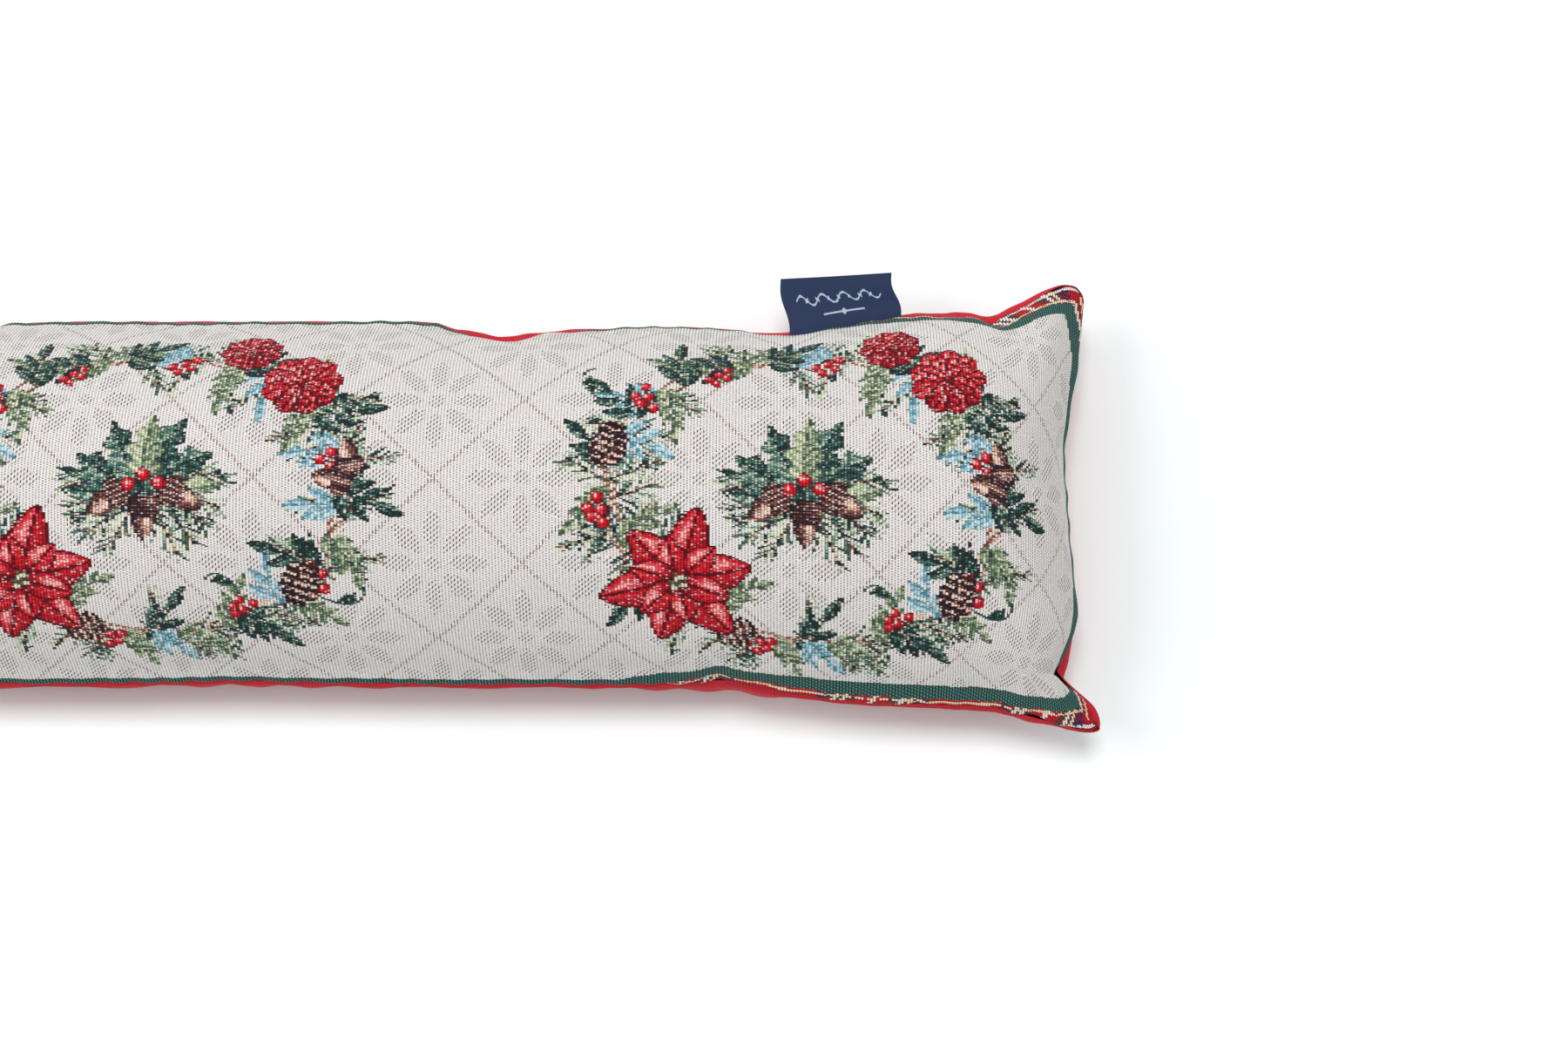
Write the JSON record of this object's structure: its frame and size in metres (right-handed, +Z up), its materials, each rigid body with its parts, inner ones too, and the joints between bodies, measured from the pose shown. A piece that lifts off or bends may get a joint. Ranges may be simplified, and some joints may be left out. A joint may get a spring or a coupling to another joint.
{
  "type": "draught excluder",
  "caption": "Long stuffed fabric cushion that lies against the foot of a door to stop draughts, with a woven front, a plain back and a small side label.",
  "frame": {"origin": "on the floor under the middle of the cushion", "axes": "+X along the length, +Y across to the side with the label, +Z up out of the front"},
  "size_m": [0.7852, 0.2039, 0.0904],
  "materials": {
    "tapestry": "woven, matt",
    "backing": "plain cloth, matt",
    "ribbon": "woven ribbon, slight sheen"
  },
  "bodies": {
    "root": {"cushion": "tapestry", "back_panel": "backing", "label": "ribbon"}
  },
  "joints": []
}
